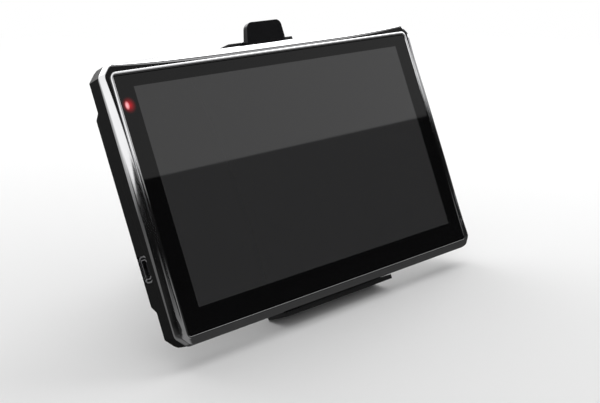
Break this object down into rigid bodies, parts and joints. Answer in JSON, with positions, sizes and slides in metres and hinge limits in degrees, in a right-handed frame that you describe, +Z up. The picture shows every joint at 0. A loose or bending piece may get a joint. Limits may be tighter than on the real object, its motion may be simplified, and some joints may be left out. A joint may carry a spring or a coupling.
{
  "type": "portable gps navigator",
  "caption": "Wide touch-screen navigator with a dark chrome frame, leaning in a clip cradle on a ball-jointed suction mount with a locking lever.",
  "frame": {"origin": "middle of the suction cup's flat underside", "axes": "+X to the right seen from the front of the screen, +Y to the back, +Z up"},
  "size_m": [0.1796, 0.1091, 0.1166],
  "materials": {
    "black_glass": "mirror-smooth black printed glass with a slightly greyer display zone",
    "display": "smooth dark glass",
    "dark_chrome": "plated plastic, dark chrome",
    "case_black": "fine matte texture",
    "cradle_black": "satin moulded plastic",
    "gloss_black": "polished",
    "tape": "thin foam tape",
    "tray": "white moulded tray with a foil back",
    "board_green": "solder mask",
    "chip": "moulded package",
    "can": "tin plated sheet",
    "ceramic": "fired ceramic with a silvered top",
    "cell": "foil pouch",
    "wire": "insulated wire and white plug",
    "mesh": "woven mesh",
    "socket_steel": "nickel plated sheet",
    "led": "red light guide",
    "ribbon": "polyimide film",
    "steel": "turned steel",
    "screw_black": "blackened steel",
    "pad": "soft foam pad",
    "liner": "natural low-friction plastic",
    "spring_steel": "spring wire",
    "brass": "knurled",
    "cup": "smooth soft rubber",
    "card": "moulded card"
  },
  "bodies": {
    "base": {"base_housing": "cradle_black", "suction_cup": "cup", "clamp_bolt": "steel", "lever_pin": "steel"},
    "plunger": {"plunger": "liner"},
    "suction_lever": {"suction_lever": "gloss_black"},
    "clamp_knob": {"clamp_knob": "cradle_black", "knob_insert": "brass"},
    "arm": {"swivel_arm": "cradle_black", "ball_stem": "steel", "friction_washers": "pad"},
    "ball_liner": {"ball_liner": "liner"},
    "ring_nut": {"ring_nut": "cradle_black"},
    "cradle": {"cradle_plate": "cradle_black", "cradle_pads": "pad", "latch_pin": "steel", "latch_spring": "spring_steel", "ball_socket": "cradle_black", "socket_screws": "screw_black"},
    "release_latch": {"release_latch": "gloss_black"},
    "navigator": {"cover_glass": "black_glass", "front_frame": "dark_chrome", "rear_cover": "case_black", "glass_tape": "tape", "lcd_panel": "display", "backlight_tray": "tray", "display_ribbon": "ribbon", "main_board": "board_green", "board_screws": "steel", "processor": "chip", "memory_chips": "chip", "shield_can": "can", "gps_antenna": "ceramic", "battery": "cell", "battery_lead": "wire", "speaker": "gloss_black", "speaker_mesh": "mesh", "status_led": "led", "usb_socket": "socket_steel", "usb_tongue": "gloss_black", "card_socket": "socket_steel", "audio_jack": "gloss_black", "power_switch": "chip", "case_screws": "screw_black"},
    "power_button": {"power_button": "gloss_black"},
    "memory_card": {"memory_card": "card"}
  },
  "joints": [
    {"name": "arm_tilt", "type": "hinge", "parent": "base", "child": "arm", "pos_m": [0, 0, 0.0248], "axis": [-1, 0, 0], "range_deg": [0, 60]},
    {"name": "ball_tilt", "type": "hinge", "parent": "arm", "child": "ball_liner", "pos_m": [0, -0.03308, 0.039], "axis": [1, 0, 0], "range_deg": [-15, 15]},
    {"name": "ball_pan", "type": "hinge", "parent": "ball_liner", "child": "ring_nut", "pos_m": [0, -0.03308, 0.039], "axis": [0, 0.3944, 0.9189], "range_deg": [-15, 15]},
    {"name": "ball_roll", "type": "hinge", "parent": "ring_nut", "child": "cradle", "pos_m": [0, -0.03308, 0.039], "axis": [0, 0.9189, -0.3944], "range_deg": [-90, 90]},
    {"name": "navigator_tip", "type": "hinge", "parent": "cradle", "child": "navigator", "pos_m": [0, -0.07297, 0.00717], "axis": [1, 0, 0], "range_deg": [0, 20]},
    {"name": "latch_swing", "type": "hinge", "parent": "cradle", "child": "release_latch", "pos_m": [0, -0.02479, 0.09585], "axis": [-1, 0, 0], "range_deg": [0, 18], "stiffness_Nm_per_rad": 0.04, "springref_deg": -5.73},
    {"name": "power_press", "type": "slide", "parent": "navigator", "child": "power_button", "axis": [0, -0.3944, -0.9189], "range_m": [0, 0.0006], "stiffness_N_per_m": 1500, "springref_m": -0.0002},
    {"name": "card_slide", "type": "slide", "parent": "navigator", "child": "memory_card", "axis": [1, 0, 0], "range_m": [0, 0.016]},
    {"name": "knob_turn", "type": "hinge", "parent": "base", "child": "clamp_knob", "pos_m": [0, 0, 0.0248], "axis": [1, 0, 0], "range_deg": [0, 360]},
    {"name": "lever_swing", "type": "hinge", "parent": "base", "child": "suction_lever", "pos_m": [0, 0.015, 0.014], "axis": [1, 0, 0], "range_deg": [0, 75]},
    {"name": "plunger_slide", "type": "slide", "parent": "base", "child": "plunger", "axis": [0, 0, -1], "range_m": [0, 0.002]}
  ],
  "couplings": [
    {"joint": "lever_swing", "follows": "plunger_slide", "rad_per_m": 654.49}
  ]
}
